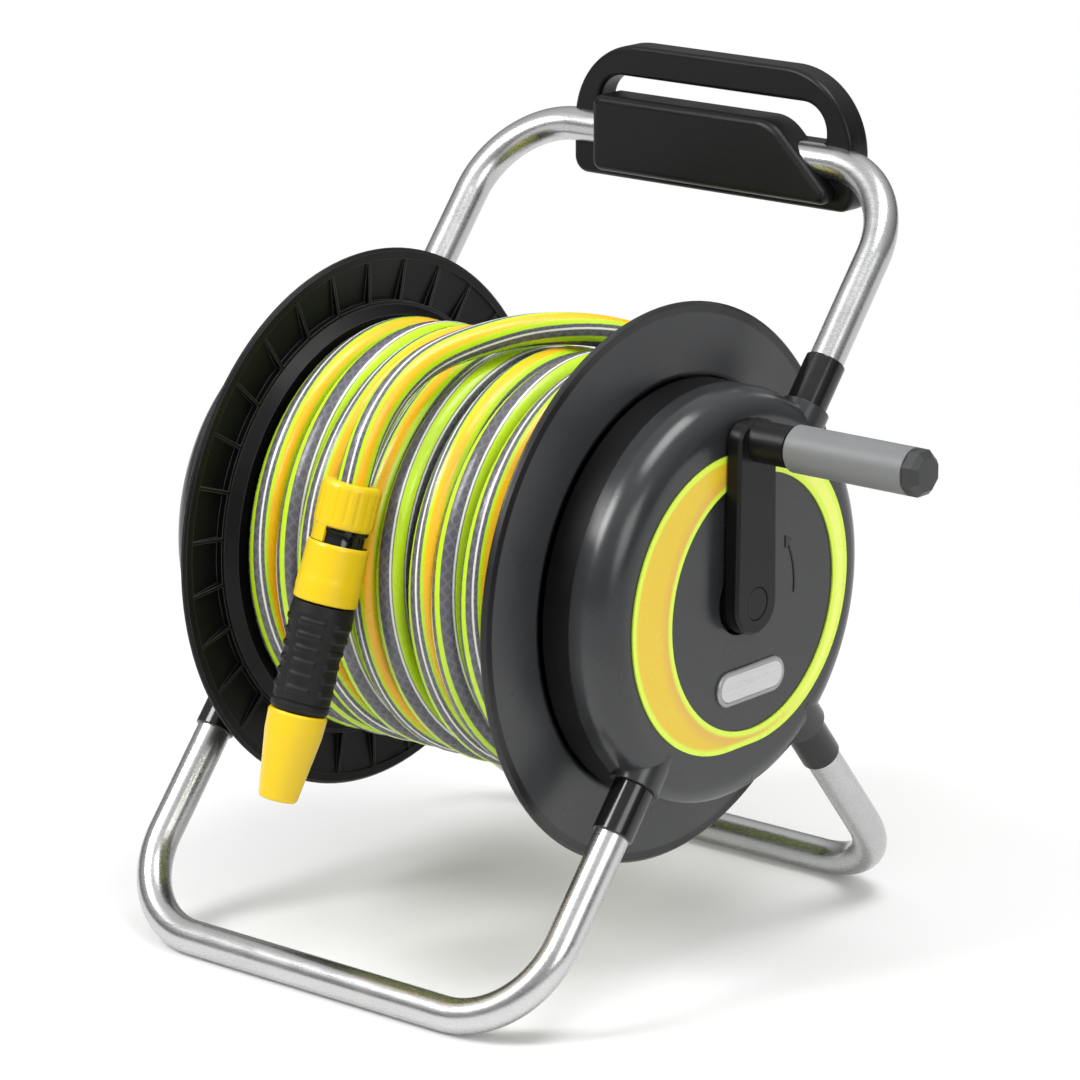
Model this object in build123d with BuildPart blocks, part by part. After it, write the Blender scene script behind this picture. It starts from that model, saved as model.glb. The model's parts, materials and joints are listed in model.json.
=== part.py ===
from build123d import *
from math import cos, radians, sin, tan
import os

# Free-standing garden hose reel. A drum full of hose turns on a level axle between two hubs, which
# three bent steel tubes carry. +Y is along the axle, with the crank at its -Y end. +Z is up, and
# the nozzle hangs on the -X side. The origin is on the ground, under the middle of the reel.
# All sizes are in millimetres.

# Tube frame, measured from the axle and from the drum's middle
tube_diameter = 19
tube_wall = 1.5
tube_bend = 52
leg_plane = 140.6
tube_start = 32
foot_reach = 162.5
foot_drop = 197.3
handle_reach = 162
handle_rise = 199

# Hubs, which don't turn
hub_radius = 111
hub_back = 112
hub_seam = 129
hub_face = 154
hub_wall = 2.5
hub_corner = 17
plate_thickness = 3
boss_radius = 20
boss_start = 103
boss_end = 147
hub_opening = 18.5
socket_radius = 12.5
socket_start = 26
socket_end = 90
hood_radius = 13.6
hood_start = 92
hood_end = 112.5
sleeve_radius = 11
sleeve_start = 93
sleeve_end = 141
post_circle = 82
post_angles = (0, 140, 270)

# Drum
flange_radius = 150
rim_face = 106.3
rim_inner_face = 110
rim_inner_radius = 114
lip_radius = 144
ring_radius = 112
web_face = 97
web_thickness = 3.5
skin = 2.5
lip_thickness = 4
rib_count = 30
rib_face = 102.8
rib_inner_radius = 121
rib_ring = 2
rib_thickness = 1.8
core_radius = 66
core_wall = 4
shaft_radius = 12
shaft_plate_radius = 30
shaft_plate = 3.5
shaft_bore = 7
bolt_circle = 50
plate_screw_circle = 22
running = 0.06

# Crank
crank_radius = 87
arm_face = 164.5
arm_back = 156.5
arm_half_width = 17
arm_tip_half_width = 15.5
arm_tip = 97
neck_radius = 11
neck_end = 187
grip_radius = 12.5
grip_end = 262
grip_cap_end = 271
spindle_radius = 5

# Hose: 1/2 inch bore, wound in three layers
hose_diameter = 17.5
coil_radius = 114
coil_half_width = 95.2

# Spray nozzle and its quick connector, along their own axis from the hose's end
tool_top = (-121, 9.3, 54)
tool_direction = (-46, 12.4, -157.7)
lead_straight = 22

# Water inlet at the rear
elbow_place = 167
elbow_drop = 40
nipple_collar = 11.5

# Carry handle
handle_middle = -6
handle_half_width = 97
handle_top = 49
handle_bottom = -27
handle_bar = 18
handle_top_corner = 46
handle_front = -2
handle_parting = 6.5
handle_back = 15
panel_front = -14

# The axle's place in the part's own frame
rear_most = elbow_place + nipple_collar
front_most = grip_cap_end
right_most = handle_reach + handle_back
left_most = foot_reach + tube_diameter / 2
axle_height = foot_drop + tube_diameter / 2
axle = Vector((left_most - right_most) / 2, (front_most - rear_most) / 2, axle_height)
drum_axis = Axis(axle, (0, 1, 0))
profile = Plane(origin=axle, x_dir=(0, 1, 0), z_dir=(1, 0, 0))
sides = {"front": -1, "rear": 1}
legs = {
    "handle": Vector(handle_reach, 0, handle_rise),
    "left": Vector(-foot_reach, 0, -foot_drop),
    "right": Vector(foot_reach, 0, -foot_drop),
}

os.makedirs("parts", exist_ok=True)


def save(part, name):
    part.label = name
    export_step(part, f"parts/{name}.step")


def across(distance, side=-1):
    """Plane square to the axle, facing away from the drum's middle on the given side."""
    return Plane(origin=axle + Vector(0, side * distance, 0), x_dir=(-side, 0, 0), z_dir=(0, side, 0))


def around(distance, side, radius, angles):
    """Planes facing outward at the given angles of a circle about the axle."""
    return [
        Plane(
            origin=axle
            + Vector(radius * cos(radians(turn)), side * distance, radius * sin(radians(turn))),
            x_dir=(-side, 0, 0),
            z_dir=(0, side, 0),
        )
        for turn in angles
    ]


def along_leg(leg, side, radius):
    """Plane square to a leg, with its x axis pointing away from the drum."""
    out = legs[leg].normalized()
    origin = axle + out * radius + Vector(0, side * leg_plane, 0)
    return Plane(origin=origin, x_dir=(0, side, 0), z_dir=out)


def turned_sketch(side, points):
    """Half section of a turned piece, from (distance along the axle, radius) points."""
    with BuildSketch(profile) as section:
        with BuildLine():
            Polyline(*[(side * x, y) for x, y in points], close=True)
        make_face()
    return section.sketch


def turned(name, side, points):
    with BuildPart() as piece:
        revolve(turned_sketch(side, points), axis=drum_axis)
    save(piece.part, name)


def at_spots(plane, spots):
    """Copies of a plane with their origins moved to local points."""
    return [
        Plane(origin=plane.from_local_coords(Vector(*spot)), x_dir=plane.x_dir, z_dir=plane.z_dir)
        for spot in spots
    ]


def discs(planes, radius):
    with BuildSketch(*planes) as circles:
        Circle(radius)
    return circles.sketch


def screws(name, planes, head_radius, head, shank_radius, shank):
    """Screws whose heads stand on the given planes."""
    with BuildPart() as group:
        extrude(discs(planes, head_radius), amount=head)
        extrude(discs(planes, shank_radius), amount=-shank)
    save(group.part, name)


def tube_points(leg):
    """Corners of a bent tube whose two legs point at the axle."""
    out = legs[leg]
    start = out.normalized() * tube_start
    front = Vector(0, -leg_plane, 0)
    return [axle + start + front, axle + out + front, axle + out - front, axle + start - front]


def swept_tube(points, radii, diameter, wall=0.0):
    """Round tube along straight runs joined by arcs."""
    with BuildPart() as tube:
        with BuildLine() as route:
            FilletPolyline(*points, radius=radii)
        with BuildSketch(Plane(origin=route.line @ 0, z_dir=route.line % 0)):
            Circle(diameter / 2)
            if wall:
                Circle(diameter / 2 - wall, mode=Mode.SUBTRACT)
        sweep(path=route.wires()[0])
    return tube.part


# ---- Steel tubes: the carry handle's tube and the two feet ----
for leg, name in (("handle", "handle_tube"), ("left", "left_foot_tube"), ("right", "right_foot_tube")):
    tube = swept_tube(tube_points(leg), tube_bend, tube_diameter, tube_wall)
    with BuildPart() as bent:
        add(tube)
        for side in sides.values():
            crossing = along_leg(leg, side, 60)
            screw_plane = Plane(origin=crossing.origin, x_dir=(1, 0, 0), z_dir=(0, -side, 0))
            extrude(discs([screw_plane], 1.9), amount=20, mode=Mode.SUBTRACT)
    save(bent.part, name)

# ---- Hubs: each carries three legs and one end of the axle ----
for end, side in sides.items():
    posts = around(hub_back, side, post_circle, post_angles)
    tube_screws = [
        Plane(
            origin=along_leg(leg, side, 60).origin - Vector(0, side * socket_radius, 0),
            x_dir=(side, 0, 0),
            z_dir=(0, -side, 0),
        )
        for leg in legs
    ]

    with BuildPart() as hub:
        plate_front = hub_back + plate_thickness
        section = turned_sketch(
            side,
            [
                (boss_start, 15.05),
                (boss_end, 15.05),
                (boss_end, boss_radius),
                (plate_front, boss_radius),
                (plate_front, hub_radius - hub_wall),
                (hub_seam, hub_radius - hub_wall),
                (hub_seam, hub_radius),
                (hub_back, hub_radius),
                (hub_back, boss_radius),
                (boss_start, boss_radius),
            ],
        )
        revolve(section, axis=drum_axis)
        for leg in legs:
            out = legs[leg].normalized()
            with BuildSketch(along_leg(leg, side, socket_start)) as socket:
                Circle(socket_radius)
                with Locations((hub_face - hub_wall - leg_plane - 0.3, 0)):
                    Rectangle(60, 60, align=(Align.MAX, Align.CENTER), mode=Mode.INTERSECT)
            extrude(amount=socket_end - socket_start)
            foot = Plane(
                origin=axle + out * (boss_radius - 1) + Vector(0, side * (plate_front - 1), 0),
                x_dir=out,
                z_dir=(0, side, 0),
            )
            with BuildSketch(foot) as pedestal:
                Rectangle(socket_end - boss_radius, 9, align=(Align.MIN, Align.CENTER))
            extrude(amount=leg_plane - plate_front - 8)
            bore = [along_leg(leg, side, tube_start)]
            extrude(discs(bore, tube_diameter / 2), amount=200, mode=Mode.SUBTRACT)
        extrude(discs(posts, 1.9), amount=30, both=True, mode=Mode.SUBTRACT)
        extrude(discs(tube_screws, 3.2), amount=60, mode=Mode.SUBTRACT)
        extrude(discs(tube_screws, 1.9), amount=-6, mode=Mode.SUBTRACT)
    save(hub.part, f"{end}_hub")

    with BuildPart() as cover:
        with BuildSketch(profile) as shell:
            with BuildLine():
                Polyline(
                    (side * hub_seam, hub_radius),
                    (side * hub_face, hub_radius),
                    (side * hub_face, hub_opening),
                    (side * (hub_face - hub_wall), hub_opening),
                    (side * (hub_face - hub_wall), hub_radius - hub_wall),
                    (side * hub_seam, hub_radius - hub_wall),
                    close=True,
                )
            make_face()
            outer = shell.vertices().sort_by_distance((side * hub_face, hub_radius, 0))[0]
            fillet(outer, radius=hub_corner)
            inner_corner = (side * (hub_face - hub_wall), hub_radius - hub_wall, 0)
            inner = shell.vertices().sort_by_distance(inner_corner)[0]
            fillet(inner, radius=hub_corner - hub_wall)
        revolve(axis=drum_axis)
        for leg in legs:
            with BuildSketch(along_leg(leg, side, hood_start)) as hood:
                Circle(hood_radius)
                with Locations((hub_seam - leg_plane, 0)):
                    Rectangle(60, 60, align=(Align.MIN, Align.CENTER), mode=Mode.INTERSECT)
            extrude(amount=hood_end - hood_start)
        for leg in legs:
            bore = [along_leg(leg, side, hood_start - 1)]
            extrude(discs(bore, sleeve_radius + 0.1), amount=60, mode=Mode.SUBTRACT)
        post_height = hub_face - hub_wall - hub_back - plate_thickness
        post_feet = around(hub_back + plate_thickness, side, post_circle, post_angles)
        extrude(discs(post_feet, 4), amount=post_height + 1)
        extrude(discs(post_feet, 1.9), amount=12, mode=Mode.SUBTRACT)
    save(cover.part, f"{end}_cover")

    cover_screws = [Plane(origin=post.origin, x_dir=(side, 0, 0), z_dir=(0, -side, 0)) for post in posts]
    screws(f"{end}_cover_screws", cover_screws, 3.5, 2, 1.8, 14)
    screws(f"{end}_tube_screws", tube_screws, 3, 2, 1.8, 5.5)

    for leg in legs:
        with BuildPart() as sleeve:
            with BuildSketch(along_leg(leg, side, sleeve_start)):
                Circle(sleeve_radius)
                Circle(tube_diameter / 2, mode=Mode.SUBTRACT)
            extrude(amount=sleeve_end - sleeve_start)
            rims = sleeve.edges().filter_by(GeomType.CIRCLE).group_by(SortBy.RADIUS)[-1]
            chamfer(rims, length=0.6)
        save(sleeve.part, f"{end}_{leg}_sleeve")

    turned(
        f"{end}_bush",
        side,
        [
            (boss_start - 1.5, shaft_radius + running),
            (boss_end, shaft_radius + running),
            (boss_end, 15),
            (boss_start, 15),
            (boss_start, 18),
            (boss_start - 1.5, 18),
        ],
    )

# ---- Drum: two flanges on a core, held together by long bolts ----
rib_planes = []
for number in range(rib_count):
    turn = radians(360 * number / rib_count)
    rib_planes.append(Plane(origin=axle, x_dir=(0, 1, 0), z_dir=(cos(turn), 0, -sin(turn))))
bolt_angles = (90, 210, 330)
rim_slope = (rim_inner_face - rim_face) / (lip_radius - rim_inner_radius)
rib_floor = rim_face + rim_slope * (lip_radius - rib_inner_radius) - skin

for end, side in sides.items():
    with BuildPart() as flange:
        web_back = web_face + web_thickness
        section = turned_sketch(
            side,
            [
                (web_face, shaft_radius + 0.1),
                (web_face, rim_inner_radius),
                (rib_face, rib_inner_radius - rib_ring),
                (rib_face, rib_inner_radius),
                (rib_floor, rib_inner_radius),
                (rim_face - skin, lip_radius),
                (rim_face - lip_thickness, lip_radius),
                (rim_face - lip_thickness, flange_radius - 1.5),
                (rim_face - lip_thickness + 1.5, flange_radius),
                (rim_face - 1.5, flange_radius),
                (rim_face, flange_radius - 1.5),
                (rim_face, lip_radius),
                (rim_inner_face, rim_inner_radius),
                (rim_inner_face, ring_radius),
                (web_back, ring_radius),
                (web_back, shaft_radius + 0.1),
            ],
        )
        revolve(section, axis=drum_axis)
        with BuildSketch(*rib_planes) as ribs:
            with BuildLine():
                Polyline(
                    (side * rib_face, rib_inner_radius - 1),
                    (side * rib_face, lip_radius + 1),
                    (side * (rim_face - 1), lip_radius + 1),
                    (side * (rib_floor + 1), rib_inner_radius - 1),
                    close=True,
                )
            make_face()
        extrude(amount=rib_thickness / 2, both=True)
        bolt_holes = around(web_face - 5, side, bolt_circle, bolt_angles)
        extrude(discs(bolt_holes, 3.1), amount=15, mode=Mode.SUBTRACT)
        plate_holes = around(web_face - 5, side, plate_screw_circle, bolt_angles)
        extrude(discs(plate_holes, 2.1), amount=15, mode=Mode.SUBTRACT)
    save(flange.part, f"{end}_flange")
    plate_screws = around(web_back, side, plate_screw_circle, bolt_angles)
    screws(f"{end}_shaft_screws", plate_screws, 3.6, 1.8, 2, web_thickness + shaft_plate + 4)

outlet_place = Plane(origin=axle + Vector(0, 82, 0), x_dir=(0, 1, 0), z_dir=(0, 0, -1))
with BuildPart() as drum_core:
    with BuildSketch(across(web_face - 0.1)):
        Circle(core_radius)
        Circle(core_radius - core_wall, mode=Mode.SUBTRACT)
    extrude(amount=-2 * (web_face - 0.1))
    extrude(discs([outlet_place], 7.1), amount=100, mode=Mode.SUBTRACT)
save(drum_core.part, "drum_core")

with BuildPart() as drum_bolts:
    head_face = web_face + web_thickness
    extrude(discs(around(head_face, -1, bolt_circle, bolt_angles), 5.5), amount=3.5)
    extrude(discs(around(head_face, -1, bolt_circle, bolt_angles), 3), amount=-2 * head_face - 4)
save(drum_bolts.part, "drum_bolts")
with BuildPart() as drum_nuts:
    with BuildSketch(*around(web_face + web_thickness, 1, bolt_circle, bolt_angles)):
        RegularPolygon(5.5, 6)
        Circle(3.05, mode=Mode.SUBTRACT)
    extrude(amount=4)
save(drum_nuts.part, "drum_nuts")

with BuildPart() as crank_shaft:
    inner = web_face - shaft_plate
    section = turned_sketch(
        -1,
        [
            (inner, 0),
            (inner, shaft_plate_radius),
            (web_face, shaft_plate_radius),
            (web_face, shaft_radius),
            (150, shaft_radius),
            (150, 0),
        ],
    )
    revolve(section, axis=drum_axis)
    with BuildSketch(across(150)):
        Rectangle(14, 14)
    extrude(amount=9.5)
    extrude(discs([across(160)], 2.55), amount=-22, mode=Mode.SUBTRACT)
    plate_holes = around(web_face - 8, -1, plate_screw_circle, bolt_angles)
    extrude(discs(plate_holes, 2.05), amount=15, mode=Mode.SUBTRACT)
save(crank_shaft.part, "crank_shaft")

with BuildPart() as inlet_shaft:
    section = turned_sketch(
        1,
        [
            (inner, shaft_bore),
            (inner, shaft_plate_radius),
            (web_face, shaft_plate_radius),
            (web_face, shaft_radius),
            (boss_end, shaft_radius),
            (boss_end, shaft_bore),
        ],
    )
    revolve(section, axis=drum_axis)
    plate_holes = around(web_face - 8, 1, plate_screw_circle, bolt_angles)
    extrude(discs(plate_holes, 2.05), amount=15, mode=Mode.SUBTRACT)
save(inlet_shaft.part, "inlet_shaft")

# ---- Water path: inlet elbow at the rear, turning joint, then an elbow out through the core ----
spigot_start = 118
groove_places = (124, 132)
groove_half = 1
spigot_radius = 6.5
groove_radius = 5.1
spigot_outline = [(spigot_start, 3.5), (spigot_start, spigot_radius)]
for place in groove_places:
    spigot_outline.append((place - groove_half, spigot_radius))
    spigot_outline.append((place - groove_half, groove_radius))
    spigot_outline.append((place + groove_half, groove_radius))
    spigot_outline.append((place + groove_half, spigot_radius))
spigot_outline += [(hub_face, spigot_radius), (hub_face, 24), (hub_face + 3, 24), (hub_face + 3, 11)]
with BuildPart() as inlet_elbow:
    outline = spigot_outline + [(elbow_place, 11), (elbow_place, 3.5)]
    revolve(turned_sketch(1, outline), axis=drum_axis)
    with BuildSketch(Plane(origin=axle + Vector(0, elbow_place, 11), z_dir=(0, 0, -1))):
        Circle(11)
    extrude(amount=elbow_drop)
    bore_top = Plane(origin=axle + Vector(0, elbow_place, 4), z_dir=(0, 0, -1))
    extrude(discs([bore_top], 4.5), amount=elbow_drop, mode=Mode.SUBTRACT)
    extrude(discs([across(spigot_start - 1, 1)], 3.5), amount=elbow_place - spigot_start, mode=Mode.SUBTRACT)
    elbow_holes = around(hub_face, 1, 19, (0, 180))
    extrude(discs(elbow_holes, 1.7), amount=10, mode=Mode.SUBTRACT)
save(inlet_elbow.part, "inlet_elbow")

nipple_top = elbow_drop - 11
nipple_place = Vector(0, elbow_place, 0)
nipple_profile = Plane(origin=axle + nipple_place, x_dir=(1, 0, 0), z_dir=(0, -1, 0))
with BuildPart() as inlet_nipple:
    with BuildSketch(nipple_profile):
        with BuildLine():
            Polyline(
                (4, -nipple_top),
                (nipple_collar, -nipple_top),
                (nipple_collar, -nipple_top - 6),
                (8.5, -nipple_top - 6),
                (8.5, -nipple_top - 10),
                (6.6, -nipple_top - 12),
                (6.6, -nipple_top - 16),
                (8, -nipple_top - 17.5),
                (8, -nipple_top - 27),
                (7.2, -nipple_top - 28),
                (4, -nipple_top - 28),
                close=True,
            )
        make_face()
    revolve(axis=Axis(axle + nipple_place, (0, 0, 1)))
save(inlet_nipple.part, "inlet_nipple")

with BuildPart() as inlet_seals:
    with BuildSketch(profile):
        with Locations(*[(place, 6.05) for place in groove_places]):
            Circle(0.88)
    revolve(axis=drum_axis)
save(inlet_seals.part, "inlet_seals")
screws("inlet_screws", around(hub_face + 3, 1, 19, (0, 180)), 3, 1.6, 1.6, 2.9)

with BuildPart() as outlet_elbow:
    add(
        swept_tube(
            [
                axle + Vector(0, web_face - shaft_plate - 0.2, 0),
                axle + Vector(0, 82, 0),
                axle + Vector(0, 82, -75),
                axle + Vector(30, 82, -75),
            ],
            [10, 12],
            13,
            2.5,
        )
    )
save(outlet_elbow.part, "outlet_elbow")

# ---- Crank ----
with BuildPart() as crank_arm:
    with BuildSketch(across(arm_back)) as bar:
        Circle(arm_half_width)
        with BuildLine():
            Polyline(
                (-arm_half_width, 0),
                (arm_half_width, 0),
                (arm_tip_half_width, arm_tip),
                (-arm_tip_half_width, arm_tip),
                close=True,
            )
        make_face()
        fillet(bar.vertices().group_by(Axis.Y)[-1], radius=9)
    extrude(amount=arm_face - arm_back)
    chamfer(crank_arm.faces().sort_by(Axis.Y)[0].edges(), length=1.5)
    extrude(discs([across(arm_back)], 16), amount=-5.8)
    extrude(discs(around(arm_face, -1, crank_radius, (90,)), neck_radius), amount=neck_end - arm_face)
    with BuildSketch(across(150.6)):
        Rectangle(14.2, 14.2)
    extrude(amount=9.4, mode=Mode.SUBTRACT)
    extrude(discs([across(arm_face)], 9), amount=-3, mode=Mode.SUBTRACT)
    extrude(discs([across(arm_face)], 2.7), amount=-10, mode=Mode.SUBTRACT)
    spindle_hole = around(arm_back + 2, -1, crank_radius, (90,))
    extrude(discs(spindle_hole, spindle_radius), amount=40, mode=Mode.SUBTRACT)
save(crank_arm.part, "crank_arm")
screws("crank_screw", [across(arm_face - 3)], 5, 1.4, 2.5, 18)
with BuildPart() as crank_cap:
    extrude(discs([across(arm_face - 1.4)], 8.9), amount=1.2)
    chamfer(crank_cap.edges().group_by(Axis.Y)[0], length=0.5)
save(crank_cap.part, "crank_cap")

grip_start = neck_end + 0.8
grip_axis = Axis(axle + Vector(0, 0, crank_radius), (0, 1, 0))
grip_profile = Plane(origin=axle + Vector(0, 0, crank_radius), x_dir=(0, -1, 0), z_dir=(-1, 0, 0))
with BuildPart() as grip_spindle:
    extrude(discs(around(arm_back + 2, -1, crank_radius, (90,)), spindle_radius), amount=101)
    extrude(discs(around(grip_end - 3.5, -1, crank_radius, (90,)), 8), amount=2.5)
save(grip_spindle.part, "grip_spindle")
with BuildPart() as crank_grip:
    with BuildSketch(grip_profile):
        with BuildLine():
            Polyline(
                (grip_start, spindle_radius + running),
                (grip_start, grip_radius - 1.5),
                (grip_start + 1.5, grip_radius),
                (grip_end, grip_radius),
                (grip_end, 9),
                (grip_end - 4, 9),
                (grip_end - 4, spindle_radius + running),
                close=True,
            )
        make_face()
    revolve(axis=grip_axis)
save(crank_grip.part, "crank_grip")
with BuildPart() as grip_cap:
    with BuildSketch(*around(grip_end, -1, crank_radius, (90,))):
        RegularPolygon(grip_radius, 8, rotation=22.5)
    extrude(amount=grip_cap_end - grip_end)
    chamfer(grip_cap.faces().sort_by(Axis.Y)[0].edges(), length=3)
save(grip_cap.part, "grip_cap")

# ---- Carry handle: two moulded shells round the tube, with a finger slot over it ----
run = axle + legs["handle"]


def handle_plane(x):
    """Upright plane square to X, its x axis toward -Y, with its origin on the tube run."""
    return Plane(origin=run + Vector(x, handle_middle, 0), x_dir=(0, -1, 0), z_dir=(-1, 0, 0))


def handle_outline():
    """Loop-shaped moulding: an arch on a straight base, with the finger slot between them."""
    slot_half = handle_half_width - handle_bar
    slot_bottom = 9.5
    slot_top = handle_top - handle_bar
    with BuildSketch() as loop:
        with Locations((0, handle_bottom)):
            middle = (Align.CENTER, Align.MIN)
            Rectangle(2 * handle_half_width, handle_top - handle_bottom, align=middle)
        fillet(loop.vertices().group_by(Axis.Y)[-1], radius=handle_top_corner)
        fillet(loop.vertices().group_by(Axis.Y)[0], radius=9)
        with BuildSketch(mode=Mode.SUBTRACT) as slot:
            with Locations((0, slot_bottom)):
                Rectangle(2 * slot_half, slot_top - slot_bottom, align=middle)
            fillet(slot.vertices().group_by(Axis.Y)[-1], radius=16)
            fillet(slot.vertices().group_by(Axis.Y)[0], radius=3)
    return loop.sketch


def panel_outline():
    """Front housing over the tube. Its end toward the crank slants, and the tube comes out there."""
    with BuildSketch() as panel:
        with BuildLine():
            Polyline((-75, -22), (-75, 21), (50, 21), (95, -22), close=True)
        make_face()
        left = panel.vertices().group_by(Axis.X)[0]
        fillet(left, radius=6)
        shoulder = panel.vertices().sort_by_distance((50, 21, 0))[0]
        fillet(shoulder, radius=24)
        toe = panel.vertices().sort_by_distance((95, -22, 0))[0]
        fillet(toe, radius=5)
    return panel.sketch


screw_spots = ((-79, 28), (79, 28), (-86, -18), (86, -18))
screw_holes = at_spots(handle_plane(handle_parting), screw_spots)
screw_seats = [
    Plane(origin=seat.origin, x_dir=(0, 1, 0), z_dir=(1, 0, 0))
    for seat in at_spots(handle_plane(handle_back - 2.5), screw_spots)
]
tube_envelope = swept_tube(tube_points("handle"), tube_bend, tube_diameter + 0.1)

with BuildPart() as handle_front_shell:
    extrude(handle_plane(handle_parting) * handle_outline(), amount=handle_parting - handle_front)
    fillet(handle_front_shell.faces().sort_by(Axis.X)[0].edges(), radius=2.8)
    with BuildPart() as housing:
        extrude(handle_plane(handle_parting) * panel_outline(), amount=handle_parting - panel_front)
        fillet(housing.faces().sort_by(Axis.X)[0].edges(), radius=4.5)
    extrude(discs(screw_holes, 2.1), amount=6, mode=Mode.SUBTRACT)
    add(tube_envelope, mode=Mode.SUBTRACT)
save(handle_front_shell.part, "handle_front_shell")

with BuildPart() as handle_rear_shell:
    extrude(handle_plane(handle_parting) * handle_outline(), amount=handle_parting - handle_back)
    fillet(handle_rear_shell.faces().sort_by(Axis.X)[-1].edges(), radius=2.8)
    extrude(discs(screw_seats, 2.1), amount=-8, mode=Mode.SUBTRACT)
    extrude(discs(screw_seats, 3.8), amount=4, mode=Mode.SUBTRACT)
    add(tube_envelope, mode=Mode.SUBTRACT)
save(handle_rear_shell.part, "handle_rear_shell")
screws("handle_screws", screw_seats, 3.6, 1.5, 2, 10)

# ---- Trim on the crank side's cover ----
with BuildPart() as crescent_trim:
    with BuildSketch(across(hub_face)):
        SlotOverall(182, 160)
        with Locations((10, -3)):
            Circle(69, mode=Mode.SUBTRACT)
    extrude(amount=1)
save(crescent_trim.part, "crescent_trim")
with BuildPart() as badge:
    with BuildSketch(across(hub_face)):
        with Locations((8, -46)):
            SlotOverall(57, 19)
    extrude(amount=1.6)
    chamfer(badge.faces().sort_by(Axis.Y)[0].edges(), length=0.6)
save(badge.part, "badge")

# ---- Hose ----
with BuildPart() as hose_coil:
    with BuildSketch(across(coil_half_width)):
        Circle(coil_radius)
        Circle(core_radius + 0.3, mode=Mode.SUBTRACT)
    extrude(amount=-2 * coil_half_width)
    rims = hose_coil.edges().filter_by(GeomType.CIRCLE).group_by(SortBy.RADIUS)[-1]
    fillet(rims, radius=6)
save(hose_coil.part, "hose_coil")

# The last turn leaves the winding at the crank side, crosses on top of it and comes down straight
# into the connector. Points are chosen by hand, from the axle.
tool_start = axle + Vector(*tool_top)
tool_axis = Vector(*tool_direction).normalized()
hose_route = [
    (117, -85, 15),
    (111, -80, 49),
    (95, -70, 80),
    (68, -54, 106),
    (33, -34, 121),
    (-4, -16, 125.5),
    (-37, -5, 123),
    (-66.5, 1.5, 117.8),
    (-86.3, 4.5, 108.2),
    (-102.8, 6.5, 93.6),
]
route_points = [axle + Vector(*point) for point in hose_route]
route_points += [tool_start - tool_axis * lead_straight, tool_start]
radii = []
for before, corner, after in zip(route_points, route_points[1:], route_points[2:]):
    run_in = corner - before
    run_out = after - corner
    turn = radians(run_in.get_angle(run_out))
    radii.append(0.45 * min(run_in.length, run_out.length) / tan(turn / 2))
print("hose bend radii", [round(radius) for radius in radii])
hose_lead = swept_tube(route_points, radii, hose_diameter)
save(hose_lead, "hose_lead")

# ---- Quick connector and spray nozzle, turned about the tool's axis ----
tool_profile = Plane(origin=tool_start, x_dir=tool_axis, z_dir=tool_axis.cross(Vector(0, 1, 0)))
tool_line = Axis(tool_start, tool_axis)


def tool_piece(name, points):
    with BuildPart() as piece:
        with BuildSketch(tool_profile):
            with BuildLine():
                Polyline(*points, close=True)
            make_face()
        revolve(axis=tool_line)
    save(piece.part, name)


tool_piece("connector_nut", [(-6, 9.1), (-6, 14.5), (-4.5, 16), (17, 16), (18, 15), (18, 9.1)])
tool_piece(
    "connector_body",
    [
        (0, 4.5),
        (0, 9),
        (18.2, 9),
        (18.2, 14.2),
        (22.3, 14.2),
        (22.3, 13.1),
        (55, 13.1),
        (55, 9.1),
        (30.4, 9.1),
        (30.4, 4.5),
    ],
)
tool_piece(
    "connector_collar",
    [(26.6, 13.16), (26.6, 15.5), (28, 16.5), (56, 17.2), (58, 16.4), (58, 13.16)],
)
tool_piece(
    "nozzle_body",
    [
        (31, 4.5),
        (31, 8),
        (33, 8),
        (33, 6.9),
        (35, 6.9),
        (35, 9.04),
        (58.8, 9.04),
        (58.8, 17),
        (64.5, 17.5),
        (88, 15.2),
        (114.5, 15.8),
        (116.5, 14.8),
        (116.5, 9),
        (126, 9),
        (126, 7.1),
        (128, 7.1),
        (128, 9),
        (137, 9),
        (137, 4.5),
    ],
)
tool_piece(
    "nozzle_tip",
    [
        (117.1, 9.06),
        (117.1, 15),
        (118.5, 15.8),
        (129, 15.3),
        (163.2, 10.5),
        (164.7, 9.5),
        (164.7, 4),
        (139, 4),
        (139, 9.06),
    ],
)
with BuildPart() as nozzle_seals:
    with BuildSketch(tool_profile):
        with Locations((34, 8), (127, 8.1)):
            Circle(0.88)
    revolve(axis=tool_line)
save(nozzle_seals.part, "nozzle_seals")
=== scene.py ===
import json
import math

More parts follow.
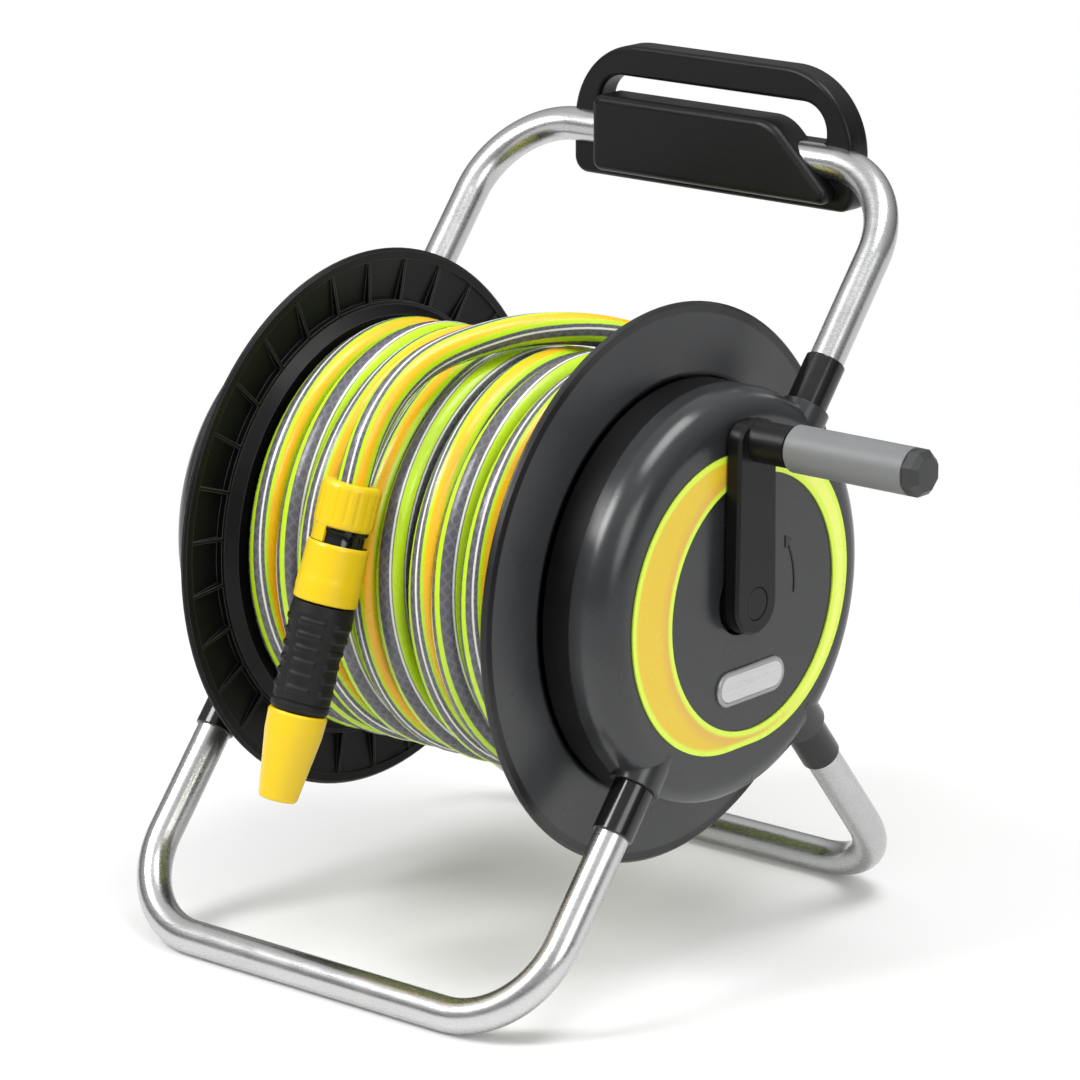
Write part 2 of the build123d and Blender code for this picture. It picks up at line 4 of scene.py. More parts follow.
import bpy
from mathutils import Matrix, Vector


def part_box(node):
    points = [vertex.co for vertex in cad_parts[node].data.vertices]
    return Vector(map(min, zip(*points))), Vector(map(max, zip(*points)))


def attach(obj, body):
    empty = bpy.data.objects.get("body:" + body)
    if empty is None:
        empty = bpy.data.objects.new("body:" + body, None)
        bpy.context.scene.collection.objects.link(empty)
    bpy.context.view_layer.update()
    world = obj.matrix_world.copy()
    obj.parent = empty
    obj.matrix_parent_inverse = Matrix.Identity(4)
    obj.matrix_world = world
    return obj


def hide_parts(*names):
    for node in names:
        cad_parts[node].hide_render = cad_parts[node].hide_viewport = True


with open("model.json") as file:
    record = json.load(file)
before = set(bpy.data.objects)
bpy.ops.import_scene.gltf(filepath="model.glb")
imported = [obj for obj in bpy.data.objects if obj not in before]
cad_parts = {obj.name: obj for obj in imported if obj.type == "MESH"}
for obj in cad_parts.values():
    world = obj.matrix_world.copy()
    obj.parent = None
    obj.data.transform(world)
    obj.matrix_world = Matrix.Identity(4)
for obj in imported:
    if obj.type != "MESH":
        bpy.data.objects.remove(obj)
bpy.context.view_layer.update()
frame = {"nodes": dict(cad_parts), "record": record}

# Looks of a free-standing garden hose reel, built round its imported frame. Lengths are in metres.
# AXLE is the middle of the drum; +Y runs along the axle with the crank at its -Y end.
MM = 0.001
TAU = 2 * math.pi


def middle(*nodes):
    """Middle of the box that holds some CAD nodes."""
    corners = [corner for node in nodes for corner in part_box(node)]
    low = Vector(map(min, *corners))
    high = Vector(map(max, *corners))
    return (low + high) / 2


AXLE = middle("front_flange", "rear_flange")


def at(x, y, z):
    """A point given in millimetres from the middle of the drum."""
    return AXLE + Vector((x, y, z)) * MM


# ---------------------------------------------------------------- camera, light, floor


CAMERA_PLACE = (-1.95365, -1.5989, 0.91549)
CAMERA_TILT = math.radians(74.59)
CAMERA_TURN = math.radians(-50.17)
CAMERA_LENS = 163.7


def add_camera():
    data = bpy.data.cameras.new("camera")
    data.sensor_width = 36
    data.lens = CAMERA_LENS
    data.clip_start = 0.05
    data.clip_end = 50
    camera = bpy.data.objects.new("camera", data)
    camera.location = CAMERA_PLACE
    camera.rotation_euler = (CAMERA_TILT, 0, CAMERA_TURN)
    bpy.context.scene.collection.objects.link(camera)
    bpy.context.scene.camera = camera


def add_softbox(name, place, size, power):
    """A rectangular lamp that points at the middle of the reel."""
    aim = Vector((0, 0, 0.2))
    data = bpy.data.lights.new(name, "AREA")
    data.shape = "RECTANGLE"
    data.size, data.size_y = size
    data.energy = power
    lamp = bpy.data.objects.new(name, data)
    lamp.location = place
    lamp.rotation_euler = (aim - Vector(place)).to_track_quat("-Z", "Y").to_euler()
    bpy.context.scene.collection.objects.link(lamp)


def add_studio():
    add_softbox("key", (-1.35, 0.75, 1.55), (0.8, 0.8), 30)
    add_softbox("top", (0.1, -0.5, 2.0), (1.2, 0.7), 20)
    add_softbox("fill", (-0.9, -2.1, 1.2), (1.2, 1.0), 16)
    world = bpy.data.worlds.new("studio")
    bpy.context.scene.world = world
    world.use_nodes = True
    tree = world.node_tree
    tree.nodes.clear()
    output = tree.nodes.new("ShaderNodeOutputWorld")
    # A white backdrop is seen, but the reel is lit by a room that is dark along the horizon
    backdrop = tree.nodes.new("ShaderNodeBackground")
    backdrop.inputs["Color"].default_value = (1, 1, 1, 1)
    room = tree.nodes.new("ShaderNodeBackground")
    room.inputs["Color"].default_value = (1, 1, 1, 1)
    coordinates = tree.nodes.new("ShaderNodeTexCoord")
    split = tree.nodes.new("ShaderNodeSeparateXYZ")
    band = tree.nodes.new("ShaderNodeMapRange")
    band.inputs["From Min"].default_value = 0.05
    band.inputs["From Max"].default_value = 0.8
    band.inputs["To Min"].default_value = 0.12
    band.inputs["To Max"].default_value = 0.8
    path = tree.nodes.new("ShaderNodeLightPath")
    mix = tree.nodes.new("ShaderNodeMixShader")
    tree.links.new(coordinates.outputs["Generated"], split.inputs[0])
    tree.links.new(split.outputs["Z"], band.inputs["Value"])
    tree.links.new(band.outputs["Result"], room.inputs["Strength"])
    tree.links.new(path.outputs["Is Camera Ray"], mix.inputs[0])
    tree.links.new(room.outputs[0], mix.inputs[1])
    tree.links.new(backdrop.outputs[0], mix.inputs[2])
    tree.links.new(mix.outputs[0], output.inputs["Surface"])
    bpy.context.scene.view_settings.view_transform = "Standard"


def add_floor():
    """White paper that turns into an even white glow away from the reel."""
    half = 12
    mesh = bpy.data.meshes.new("floor")
    corners = [(-half, -half, 0), (half, -half, 0), (half, half, 0), (-half, half, 0)]
    mesh.from_pydata(corners, [], [(0, 1, 2, 3)])
    floor = bpy.data.objects.new("floor", mesh)
    shader = Shader("floor", (0.9, 0.9, 0.9), 0.6)
    x, y, _ = shader.coordinates()
    distance = shader.length(x, y)
    glow = shader.node("Emission")
    mix = shader.node("MixShader")
    shader.link(shader.ramp(distance, 0.42, 0.75, 0.1, 1), mix.inputs[0])
    shader.link(shader.surface.outputs[0], mix.inputs[1])
    shader.link(glow.outputs[0], mix.inputs[2])
    shader.link(mix.outputs[0], shader.tree.nodes["Material Output"].inputs["Surface"])
    mesh.materials.append(shader.material)
    bpy.context.scene.collection.objects.link(floor)


# ---------------------------------------------------------------- materials


class Shader:
    """A Principled material, with short calls for the nodes that it is built from."""

    def __init__(self, name, colour, roughness, **sockets):
        self.material = bpy.data.materials.new(name)
        self.material.use_nodes = True
        self.tree = self.material.node_tree
        self.surface = self.tree.nodes["Principled BSDF"]
        self.set("Base Color", (*colour, 1))
        self.set("Roughness", roughness)
        for socket, value in sockets.items():
            self.set(socket.replace("_", " "), value)

    def link(self, value, socket):
        if hasattr(value, "is_output"):
            self.tree.links.new(value, socket)
        else:
            socket.default_value = value

    def set(self, socket, value):
        self.link(value, self.surface.inputs[socket])

    def node(self, kind, **settings):
        made = self.tree.nodes.new("ShaderNode" + kind)
        for key, value in settings.items():
            setattr(made, key, value)
        return made

    def place(self):
        """Position in the reel's own frame, which turns with the piece."""
        return self.node("TexCoord").outputs["Object"]

    def coordinates(self):
        split = self.node("SeparateXYZ")
        self.link(self.place(), split.inputs[0])
        return [split.outputs[axis] for axis in "XYZ"]

    def noise(self, scale, detail=3.0, stretch=(1, 1, 1)):
        mapping = self.node("Mapping")
        mapping.inputs["Scale"].default_value = stretch
        self.link(self.place(), mapping.inputs["Vector"])
        texture = self.node("TexNoise")
        texture.inputs["Scale"].default_value = scale
        texture.inputs["Detail"].default_value = detail
        self.link(mapping.outputs[0], texture.inputs["Vector"])
        return texture.outputs["Fac"]

    def math(self, operation, *values):
        made = self.node("Math", operation=operation)
        for value, socket in zip(values, made.inputs):
            self.link(value, socket)
        return made.outputs[0]

    def length(self, across, up):
        """Length of a flat vector."""
        squares = [self.math("MULTIPLY", value, value) for value in (across, up)]
        return self.math("SQRT", self.math("ADD", *squares))

    def past(self, value, limit):
        """How far a value lies beyond plus or minus a limit, or 0."""
        return self.math("MAXIMUM", self.math("SUBTRACT", self.math("ABSOLUTE", value), limit), 0)

    def ramp(self, value, low, high, to_low=0.0, to_high=1.0):
        """A smooth step of the value from low to high."""
        made = self.node("MapRange", interpolation_type="SMOOTHSTEP")
        for given, name in zip((value, low, high, to_low, to_high), RAMP_INPUTS):
            self.link(given, made.inputs[name])
        return made.outputs["Result"]

    def mix(self, factor, first, second):
        made = self.node("Mix", data_type="RGBA")
        self.link(factor, made.inputs["Factor"])
        a, b = [socket for socket in made.inputs if socket.type == "RGBA"]
        self.link(first if hasattr(first, "is_output") else (*first, 1), a)
        self.link(second if hasattr(second, "is_output") else (*second, 1), b)
        return [socket for socket in made.outputs if socket.type == "RGBA"][0]

    def bump(self, height, distance, normal=None):
        """Relief of the given height, in metres, over another normal."""
        made = self.node("Bump")
        made.inputs["Distance"].default_value = distance
        self.link(height, made.inputs["Height"])
        if normal:
            self.link(normal, made.inputs["Normal"])
        self.set("Normal", made.outputs[0])

    def soft_edges(self, radius):
        """Normal that rounds edges off, and how near an edge each spot is."""
        bevel = self.node("Bevel", samples=4)
        bevel.inputs["Radius"].default_value = radius
        dot = self.node("VectorMath", operation="DOT_PRODUCT")
        self.link(bevel.outputs[0], dot.inputs[0])
        self.link(self.node("NewGeometry").outputs["Normal"], dot.inputs[1])
        return bevel.outputs[0], self.ramp(dot.outputs["Value"], 0.8, 0.995, 1, 0)

    def from_axle(self, x=0.0, z=0.0):
        """Distances along X and up Z, in metres, from a point given from the axle."""
        along, _, up = self.coordinates()
        return self.math("SUBTRACT", along, AXLE.x + x), self.math("SUBTRACT", up, AXLE.z + z)


RAMP_INPUTS = ("Value", "From Min", "From Max", "To Min", "To Max")


def moulded(name, colour, roughness, grain=0.00004, spread=0.12, worn=0.0, **sockets):
    """Moulded plastic: fine grain, patchy tone and gloss, and edges painted lighter, as rubbed wear and as
    painted highlight.
    """
    shader = Shader(name, colour, roughness, **sockets)
    patches = shader.noise(26, 4)
    lighter = tuple(min(1, c * (1 + spread) + 0.001) for c in colour)
    darker = tuple(c * (1 - spread) for c in colour)
    normal, edge = shader.soft_edges(0.0007)
    paint = shader.mix(patches, darker, lighter)
    # Edges are painted lighter: a painted highlight where edges catch the light, and rubbed wear
    rubbed_and_highlit = tuple(min(1, c * 1.25 + worn) for c in colour)
    shader.paint = shader.mix(edge, paint, rubbed_and_highlit)
    shader.set("Base Color", shader.paint)
    shader.set("Roughness", shader.ramp(patches, 0.3, 0.7, roughness - 0.04, roughness + 0.07))
    shader.bump(shader.noise(1400, 2), grain, normal)
    return shader


def zinc_tube():
    shader = Shader("galvanised_tube", (0.7, 0.7, 0.7), 0.25, Metallic=1.0)
    mottle = shader.noise(45, 4)
    scratches = shader.noise(900, 3, (1, 0.06, 1))
    shares = shader.math("MULTIPLY", mottle, 0.5), shader.math("MULTIPLY", scratches, 0.5)
    tone = shader.math("ADD", *shares)
    shader.set("Base Color", shader.mix(tone, (0.46, 0.465, 0.47), (0.6, 0.6, 0.595)))
    shader.set("Roughness", shader.ramp(tone, 0.3, 0.7, 0.24, 0.32))
    shader.bump(scratches, 0.00001)
    return shader.material


def steel(name, tone, roughness):
    shader = Shader(name, (tone, tone, tone), roughness, Metallic=1.0)
    brushed = shader.noise(700, 3)
    shader.set("Roughness", shader.ramp(brushed, 0.3, 0.7, roughness - 0.06, roughness + 0.1))
    shader.bump(brushed, 0.00003)
    return shader.material


def banded_flange():
    """Crank side's flange: an anthracite band between a black lip and painted shade, in black, in the groove
    by the hub.
    """
    shader = moulded("flange_rim", (0.03, 0.031, 0.033), 0.3)
    radius = shader.length(*shader.from_axle())
    # Inside 112.5 mm the flange is painted black: painted shade in the groove beside the hub
    past_groove_shade = shader.ramp(radius, 0.1125, 0.1145)
    before_lip = shader.ramp(radius, 0.1435, 0.1450, 1, 0)
    band = shader.math("MULTIPLY", past_groove_shade, before_lip)
    shader.set("Base Color", shader.mix(band, (0.004, 0.004, 0.0045), shader.paint))
    return shader.material


def trim_crescent():
    """Yellow trim that deepens inside, with painted highlights in lime along its rims and towards its +X
    end.
    """
    shader = Shader("trim_yellow", (0.8, 0.55, 0.02), 0.28)
    x, z = shader.from_axle()
    # The outline is two half circles 22 mm apart, and the hole is a circle off its middle
    outline_radius, outline_half_straight = 0.08, 0.011
    hole_radius, hole_x, hole_z = 0.069, 0.010, -0.003
    outer = shader.math("SUBTRACT", outline_radius, shader.length(shader.past(x, outline_half_straight), z))
    inner = shader.math("SUBTRACT", shader.length(*shader.from_axle(hole_x, hole_z)), hole_radius)
    face = shader.mix(shader.ramp(inner, 0.004, 0.011), (0.7, 0.43, 0.055), (0.74, 0.52, 0.025))
    # Towards +X the face is painted paler lime: a painted highlight
    face_and_right_highlight = shader.mix(shader.ramp(x, 0.0, 0.07), face, (0.80, 0.90, 0.16))
    # Both rims are painted lime: a painted highlight along the edges
    rim = shader.ramp(shader.math("MINIMUM", outer, inner), 0.0018, 0.0042, 1, 0)
    shader.set("Base Color", shader.mix(rim, face_and_right_highlight, (0.66, 0.86, 0.06)))
    shader.set("Roughness", shader.ramp(shader.noise(40, 4), 0.3, 0.7, 0.22, 0.34))
    shader.bump(shader.noise(1400, 2), 0.00001, shader.soft_edges(0.0005)[0])
    return shader.material


def silver_badge():
    """Plain silver nameplate with a darker rim."""
    shader = Shader("silver_badge", (0.6, 0.6, 0.61), 0.3, Metallic=0.6)
    x, z = shader.from_axle(0.008, -0.046)
    half_straight = 0.019
    off_middle = shader.length(shader.past(x, half_straight), z)
    rim = shader.ramp(off_middle, 0.0066, 0.0074)
    brushed = shader.noise(500, 2, (0.05, 1, 1))
    face = shader.mix(brushed, (0.5, 0.5, 0.51), (0.66, 0.66, 0.66))
    shader.set("Base Color", shader.mix(rim, face, (0.32, 0.32, 0.33)))
    shader.set("Roughness", shader.ramp(brushed, 0.3, 0.7, 0.25, 0.4))
    shader.bump(shader.math("MULTIPLY", rim, 0.0004), 1.0, shader.soft_edges(0.0005)[0])
    return shader.material


def striped_hose():
    """Grey vinyl with a braid under its skin. UV x runs round the hose, y along it in metres."""
    shader = Shader("hose_vinyl", (0.2, 0.2, 0.23), 0.28)
    uv = shader.node("UVMap", uv_map="hose").outputs[0]
    split = shader.node("SeparateXYZ")
    shader.link(uv, split.inputs[0])
    around, along = split.outputs["X"], split.outputs["Y"]

    def stripe(centre, half_width, soft=0.005):
        turned = shader.math("FRACT", shader.math("ADD", around, 1.5 - centre))
        off = shader.math("ABSOLUTE", shader.math("SUBTRACT", turned, 0.5))
        return shader.ramp(off, half_width - soft, half_width + soft, 1, 0)

    def braid(sign):
        turns = shader.math("MULTIPLY", around, 9 * TAU)
        slant = shader.math("MULTIPLY", along, sign * TAU / 0.007)
        return shader.math("SINE", shader.math("ADD", turns, slant))

    weave = shader.math("MAXIMUM", braid(1), braid(-1))
    colour = shader.mix(shader.ramp(weave, 0.3, 1), (0.085, 0.083, 0.10), (0.125, 0.122, 0.145))
    for centre, half_width, paint in STRIPES:
        colour = shader.mix(stripe(centre, half_width), colour, paint)
    dirt = shader.ramp(shader.noise(24, 5), 0.45, 0.75, 0, 0.2)
    colour = shader.mix(dirt, colour, (0.16, 0.16, 0.13))
    shader.set("Base Color", colour)
    shader.set("Roughness", shader.ramp(shader.noise(90, 4), 0.3, 0.75, 0.2, 0.4))
    shader.bump(shader.noise(500, 3), 0.00006)
    return shader.material


LIME = (0.50, 0.74, 0.01)
ORANGE = (0.92, 0.50, 0.01)
WHITE = (0.78, 0.79, 0.74)
# (place round the hose, half width, both in turns, colour), later ones over earlier ones
STRIPES = (
    (0.0, 0.094, LIME),
    (0.01, 0.05, ORANGE),
    (0.14, 0.010, WHITE),
    (-0.14, 0.010, WHITE),
    (0.25, 0.032, LIME),
    (0.5, 0.06, LIME),
    (0.42, 0.010, WHITE),
    (0.58, 0.010, WHITE),
    (0.75, 0.032, LIME),
)
FINISH = {
    "galvanised_tube": zinc_tube(),
    "flange_rim": banded_flange(),
    "trim_yellow": trim_crescent(),
    "silver_badge": silver_badge(),
    "hose_vinyl": striped_hose(),
    "steel_fastener": steel("steel_fastener", 0.5, 0.3),
}
# name: (colour, roughness, what differs from plain moulded plastic)
MOULDED = {
    # Each material's edge setting paints its edges lighter, as rubbed wear and as painted highlight
    "black_plastic": ((0.004, 0.004, 0.0043), 0.34, {"worn": 0.006, "Specular_IOR_Level": 0.22}),
    "ribbed_black": ((0.0025, 0.0025, 0.0028), 0.38, {"worn": 0.1, "Specular_IOR_Level": 0.18}),
    "deep_black": ((0.002, 0.002, 0.0022), 0.45, {"Specular_IOR_Level": 0.2}),
    "gloss_black": ((0.004, 0.004, 0.0045), 0.12, {"grain": 0.00001}),
    "rubber_black": ((0.004, 0.004, 0.004), 0.5, {"worn": 0.008, "Specular_IOR_Level": 0.3}),
    "anthracite_plastic": ((0.021, 0.022, 0.0235), 0.22, {}),
    "yellow_plastic": (
        (0.73, 0.5, 0.008),
        0.3,
        {"grain": 0.00002, "spread": 0.04, "Specular_IOR_Level": 0.4},
    ),
    "grey_plastic": ((0.155, 0.158, 0.16), 0.48, {}),
    "grip_dark": ((0.024, 0.025, 0.026), 0.4, {}),
    "bush_plastic": ((0.7, 0.7, 0.67), 0.35, {}),
    "seal_rubber": ((0.015, 0.015, 0.015), 0.5, {}),
}
for name, (colour, roughness, settings) in MOULDED.items():
    FINISH[name] = moulded(name, colour, roughness, **settings).material
# Nodes whose look differs from their material slot's
SPECIAL = {
    "front_flange": "flange_rim",
    "front_hub": "deep_black",
    "rear_hub": "deep_black",
    "rear_flange": "ribbed_black",
    "crescent_trim": "trim_yellow",
    "badge": "silver_badge",
    "grip_cap": "grip_dark",
}
for end in ("front", "rear"):
    for leg in ("handle", "left", "right"):
        SPECIAL[f"{end}_{leg}_sleeve"] = "gloss_black"


def finish_cad_nodes():
    slots = {part["node"]: part["material_slot"] for part in frame["record"]["subparts"]}
    for name, piece in frame["nodes"].items():
        piece.data.materials.clear()
        piece.data.materials.append(FINISH[SPECIAL.get(name, slots[name])])


# ---------------------------------------------------------------- mesh helpers


def add_piece(name, points, faces, finish, body, smooth=True, angle=40):
    """A mesh piece that rides on a body; edges sharper than the angle, in degrees, stay sharp."""
    mesh = bpy.data.meshes.new(name)
    mesh.from_pydata([tuple(p) for p in points], [], faces)
    mesh.validate()
    mesh.update()
    piece = bpy.data.objects.new(name, mesh)
    bpy.context.scene.collection.objects.link(piece)
    mesh.materials.append(FINISH[finish])
    if smooth:
        mesh.shade_smooth()
        mesh.set_sharp_from_angle(angle=math.radians(angle))
    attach(piece, body)
    return piece


def rings_to_faces(rings, size, close_ends):
    """Quads between rings of points, and a face over each end if the rings don't close on themselves."""
    faces = []
    for ring in range(rings - 1):
        for i in range(size):
            j = (i + 1) % size
            a, b = ring * size, (ring + 1) * size
            faces.append((a + i, a + j, b + j, b + i))
    if close_ends:
        faces.append(tuple(reversed(range(size))))
        faces.append(tuple(range((rings - 1) * size, rings * size)))
    return faces


# ---------------------------------------------------------------- hose

HOSE = 17.5
SIDES = 18
POINTS_PER_TURN = 16
# A quadratic spline with this many points to a turn runs inside its points by this share
SPLINE_IN = math.cos(math.pi / POINTS_PER_TURN)
LAYERS = (76.4, 91.0, 106.0)
# The outer layer lies looser than the two under it
PITCHES = (17.6, 17.6, 18.6)
FAR_TURN = 86.4
# A sweep aims this far past the last turn, so that its first and last turns lie along the flanges
OVERRUN = 3
# Turns lie square to the axle, and step over to the next place about this angle
STEP_OVER = math.radians(310)
WIND_START_Y = 82
WIND_START = math.radians(-68)
DWELLS = (0.729, 0.729, 0.175)
CLIMB = 0.14
# The hose's free end leaves the outer layer this far outside it
LEAD_RISE = 6
# Stripes turn half way round the hose on each turn of the winding
TWIST = 4.72
TWIST_START = 3.5

# The stretch that isn't coiled, the same list as the CAD tube's, from the drum's middle
TOOL_TOP = Vector((-121, 9.3, 54))
TOOL_AXIS = Vector((-46, 12.4, -157.7)).normalized()
HOSE_ROUTE = [
    (117, -85, 15),
    (111, -80, 49),
    (95, -70, 80),
    (68, -54, 106),
    (33, -34, 121),
    (-4, -16, 125.5),
    (-37, -5, 123),
    (-66.5, 1.5, 117.8),
    (-86.3, 4.5, 108.2),
    (-102.8, 6.5, 93.6),
    tuple(TOOL_TOP - TOOL_AXIS * 22),
    tuple(TOOL_TOP),
]


def winding_stages():
    """(turns, first y, last y, first radius, last radius) of each stage of the winding."""
    stages = []
    y = WIND_START_Y
    target = -(FAR_TURN + OVERRUN)
    for layer, (radius, pitch, dwell) in enumerate(zip(LAYERS, PITCHES, DWELLS)):
        stages.append((abs(target - y) / pitch, y, target, radius, radius))
        y = target
        last = layer == len(LAYERS) - 1
        stages.append((dwell - CLIMB, y, y, radius, radius))
        stages.append((CLIMB, y, y, radius, radius + LEAD_RISE if last else LAYERS[layer + 1]))
        target = -target
    return stages


def winding_points():
    """Control points of the coil's turns, a little uneven, as hand-wound hose lies."""
    points = []
    stages = winding_stages()
    total = sum(stage[0] for stage in stages)
    count = round(total * POINTS_PER_TURN)
    for number in range(count):
        turned = total * number / count
        left = turned
        for turns, y0, y1, r0, r1 in stages:
            if left <= turns:
                break
            left -= turns
        share = left / turns
        y = y0 + (y1 - y0) * share
        radius = r0 + (r1 - r0) * share
        angle = WIND_START + turned * TAU
        y += (y1 - y0) / turns / TAU * math.sin(angle - STEP_OVER)
        y = max(-FAR_TURN, min(FAR_TURN, y))
        # Turns wave a millimetre or so along the axle, less beside the flanges, and in and out
        inward = 1 - (abs(y) / FAR_TURN) ** 4
        y += inward * (1.1 * math.sin(1.37 * angle + 0.4) + 0.9 * math.sin(0.61 * angle))
        radius += 0.45 * math.sin(2.17 * angle) + 0.35 * math.sin(0.83 * angle + 1)
        radius /= SPLINE_IN
        points.append((radius * math.cos(angle), y, radius * math.sin(angle)))
    return points


def hose_line():
    """Points along the hose's NURBS centreline, in the reel's frame."""
    curve = bpy.data.curves.new("hose_route", "CURVE")
    curve.dimensions = "3D"
    spline = curve.splines.new("NURBS")
    control = [at(*point) for point in winding_points() + HOSE_ROUTE]
    spline.points.add(len(control) - 1)
    for point, place in zip(spline.points, control):
        point.co = (*place, 1)
    spline.order_u = 3
    spline.use_endpoint_u = True
    spline.resolution_u = 5
    holder = bpy.data.objects.new("hose_route", curve)
    bpy.context.scene.collection.objects.link(holder)
    bpy.context.view_layer.update()
    mesh = bpy.data.meshes.new_from_object(holder)
    line = [vertex.co.copy() for vertex in mesh.vertices]
    bpy.data.objects.remove(holder)
    bpy.data.curves.remove(curve)
    bpy.data.meshes.remove(mesh)
    return line


def stripe_twist(length):
    """How far the stripes have turned about the hose at some length along it, in radians."""
    return TWIST_START + TWIST * length + 0.3 * math.sin(length / 0.83) + 0.15 * math.sin(length / 0.21)


def add_hose():
    line = hose_line()
    points, angles, lengths = [], [], []
    length = 0.0
    for number, here in enumerate(line):
        before = line[max(number - 1, 0)]
        after = line[min(number + 1, len(line) - 1)]
        tangent = (after - before).normalized()
        outward = Vector((here.x - AXLE.x, 0, here.z - AXLE.z))
        outward = (outward - tangent * outward.dot(tangent)).normalized()
        sideways = tangent.cross(outward)
        if number:
            length += (here - line[number - 1]).length
        lengths.append(length)
        twist = stripe_twist(length)
        for side in range(SIDES):
            angle = TAU * side / SIDES
            direction = outward * math.cos(angle) + sideways * math.sin(angle)
            points.append(here + direction * (HOSE / 2) * MM)
        angles.append(twist)
    faces = rings_to_faces(len(line), SIDES, True)
    hose = add_piece("garden_hose", points, faces, "hose_vinyl", "drum")
    uv = hose.data.uv_layers.new(name="hose")
    for polygon in hose.data.polygons:
        sides = [hose.data.loops[i].vertex_index % SIDES for i in polygon.loop_indices]
        wraps = max(sides) - min(sides) > SIDES / 2
        for loop, side in zip(polygon.loop_indices, sides):
            ring = hose.data.loops[loop].vertex_index // SIDES
            turn = side + (SIDES if wraps and side < SIDES / 2 else 0)
            uv.data[loop].uv = (turn / SIDES + angles[ring] / TAU + 4, lengths[ring])
    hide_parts("hose_coil", "hose_lead")
    return hose, line


# ---------------------------------------------------------------- connector and nozzle

TOOL_SIDE = TOOL_AXIS.cross(Vector((0, 1, 0))).normalized()
TOOL_FACE = TOOL_AXIS.cross(TOOL_SIDE)
# The nut's tongue, in radians round the tool's axis
TONGUE_START = 3.05
TONGUE_SWEEP = 1.25


def tool_point(along, radius, angle):
    spread = TOOL_SIDE * math.cos(angle) + TOOL_FACE * math.sin(angle)
    return at(*(TOOL_TOP + TOOL_AXIS * along + spread * radius))


def turned_piece(name, profile, finish, body, relief=None, sides=96, start=0.0, sweep=TAU):
    """Piece turned about the tool's axis from a closed (along, radius) profile, with optional relief."""
    whole = abs(sweep - TAU) < 1e-6
    columns = sides if whole else sides + 1
    points = []
    for column in range(columns):
        angle = start + sweep * column / sides
        for along, radius in profile:
            extra = relief(along, radius, angle) if relief else 0
            points.append(tool_point(along, radius + extra, angle))
    size = len(profile)
    faces = []
    for column in range(sides):
        a, b = column * size, ((column + 1) % columns) * size
        for i in range(size):
            j = (i + 1) % size
            faces.append((a + i, b + i, b + j, a + j))
    if not whole:
        faces.append(tuple(range(size)))
        faces.append(tuple(reversed(range((columns - 1) * size, columns * size))))
    return add_piece(name, points, faces, finish, body, angle=35)


def subdivided(profile, step):
    """The profile with its long runs cut up, so that relief has points to move."""
    fine = []
    for (a, r), (b, s) in zip(profile, profile[1:] + profile[:1]):
        cuts = max(1, round(math.dist((a, r), (b, s)) / step))
        fine += [(a + (b - a) * i / cuts, r + (s - r) * i / cuts) for i in range(cuts)]
    return fine


def plateau(value, low, high, soft):
    """1 between low and high, easing to 0 outside."""
    rise = min(max((value - low) / soft, 0), 1)
    fall = min(max((high - value) / soft, 0), 1)
    return rise * rise * (3 - 2 * rise) * fall * fall * (3 - 2 * fall)


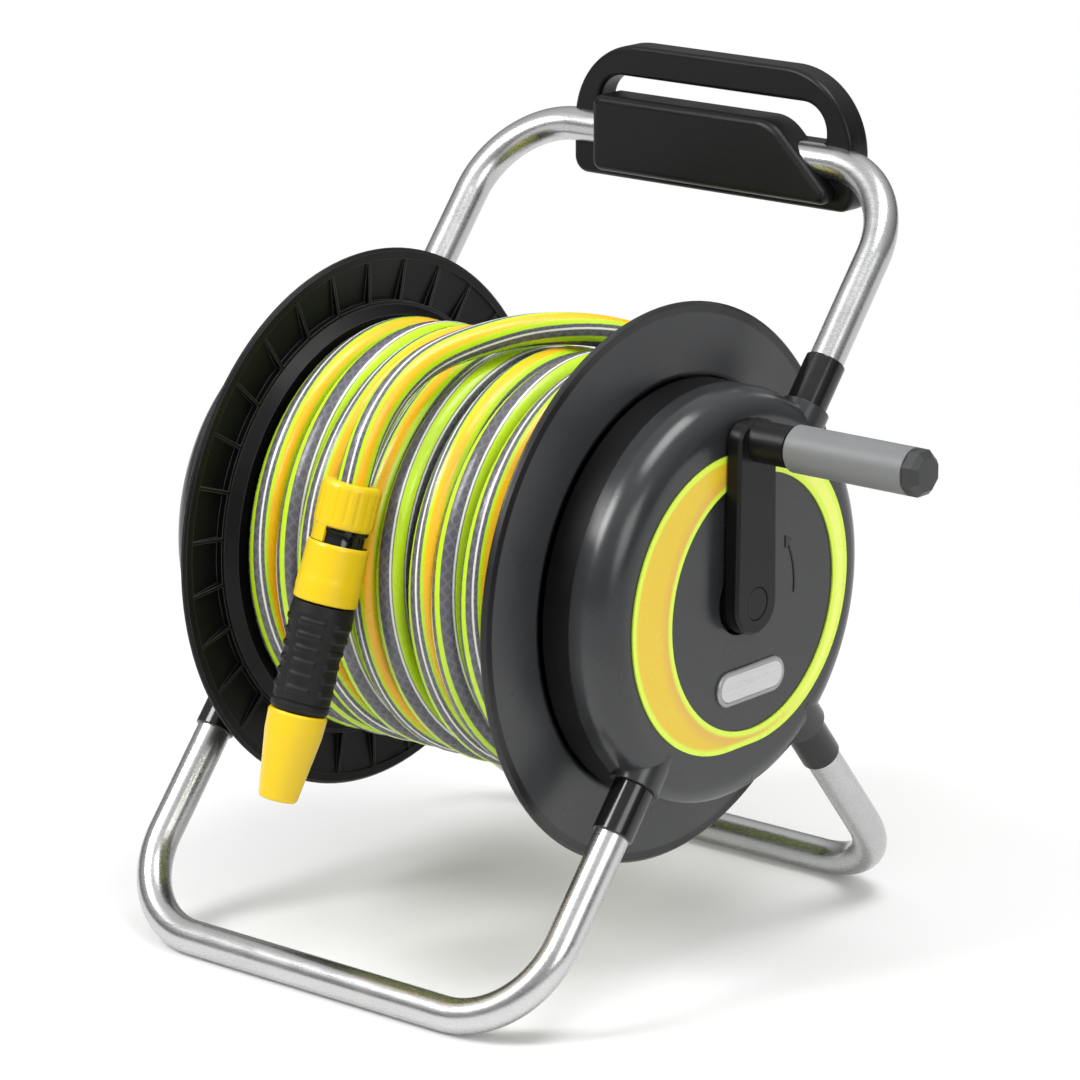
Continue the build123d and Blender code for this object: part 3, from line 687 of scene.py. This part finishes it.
def add_connector():
    def scallops(along, radius, angle):
        if radius < 15:
            return 0
        return -0.45 * plateau(along, -3.5, 15.5, 2) * max(0, math.cos(18 * angle)) ** 2

    nut = [(-6, 9.1), (-6, 13.4), (-5.4, 14.9), (-4, 15.8), (-2.6, 16), (15.6, 16), (17.2, 15.6), (18, 14.6)]
    nut = turned_piece(
        "connector_nut_yellow",
        subdivided(nut + [(18, 9.1)], 1.2),
        "yellow_plastic",
        "drum",
        scallops,
        sides=144,
    )
    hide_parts("connector_nut")
    body = [(0, 4.5), (0, 9), (18.2, 9), (18.2, 14.2), (20.2, 14.2), (20.6, 13), (24, 13), (24.3, 13.1)]
    body += [(55, 13.1), (55, 9.1), (30.4, 9.1), (30.4, 4.5)]
    body = turned_piece("connector_body_dark", body, "gloss_black", "drum")
    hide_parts("connector_body")
    # The nut's tongue reaches over the gap on one side, under the collar's lip
    tongue = [(17.4, 13.2), (17.4, 15.1), (26.3, 15.1), (26.3, 13.2)]
    turned_piece(
        "connector_tongue",
        tongue,
        "yellow_plastic",
        "drum",
        sides=24,
        start=TONGUE_START,
        sweep=TONGUE_SWEEP,
    )

    def grip(along, radius, angle):
        return 0.3 * plateau(along, 44, 54, 3) * plateau(radius, 15.9, 40, 0.3)

    collar = [(26.6, 15.25), (26.6, 15.6), (27.2, 16.2), (28.4, 16.5), (40, 16.7), (56, 17.1), (57.4, 16.9)]
    collar += [(58, 16.3), (58, 13.16), (32, 13.16), (31.4, 15.25)]
    collar = turned_piece(
        "connector_collar_yellow",
        subdivided(collar, 1.2),
        "yellow_plastic",
        "connector_collar",
        grip,
    )
    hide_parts("connector_collar")


def add_nozzle_body():
    """Rubbery body whose grip has rows of raised bars on four sides."""

    def bars(along, radius, angle):
        if radius < 14:
            return 0
        row = plateau((along - 66) % 7.2, 0.6, 4.4, 1.0) * plateau(along, 65, 109, 2)
        side = plateau((angle + 0.45) % (TAU / 5), 0.14, TAU / 5 - 0.14, 0.12)
        groove = -0.9 * plateau(along, 110.4, 112, 0.6)
        return 0.85 * row * side + groove - 0.25

    profile = [(31, 4.5), (31, 8), (33, 8), (33, 6.9), (35, 6.9), (35, 9.04), (58.8, 9.04), (58.8, 15.8)]
    profile += [(59.4, 16.7), (64.5, 17.2), (88, 15.2), (114.5, 15.8), (116.1, 15.3), (116.5, 14.6)]
    profile += [(116.5, 9), (126, 9), (126, 7.1), (128, 7.1), (128, 9), (137, 9), (137, 4.5)]
    body = turned_piece(
        "nozzle_grip",
        subdivided(profile, 0.6),
        "rubber_black",
        "nozzle",
        bars,
        sides=150,
    )
    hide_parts("nozzle_body")


# ---------------------------------------------------------------- crank side's face


def add_turning_mark():
    """Small raised arc with an arrow's head, beside the crank."""
    steps = 24
    outer_radius, inner_radius = 46.9, 45.1
    sunk_y, raised_y = -153.95, -154.5
    outline = []
    for share in range(steps + 1):
        outline.append((outer_radius, -0.12 + 0.62 * share / steps))
    head = [(49.6, 0.50), (46, 0.63), (42.4, 0.50)]
    back = [(inner_radius, angle) for _, angle in reversed(outline)]
    ring = [(r * math.cos(a), r * math.sin(a)) for r, a in outline + head + back]
    points = [at(x, sunk_y, z) for x, z in ring] + [at(x, raised_y, z) for x, z in ring]
    size = len(ring)
    faces = [(i, (i + 1) % size, size + (i + 1) % size, size + i) for i in range(size)]
    faces += [tuple(reversed(range(size))), tuple(range(size, 2 * size))]
    add_piece("turning_mark", points, faces, "gloss_black", "frame", smooth=False)


# ---------------------------------------------------------------- build

add_camera()
add_studio()
add_floor()
finish_cad_nodes()
add_connector()
add_nozzle_body()
add_turning_mark()
hose, hose_points = add_hose()
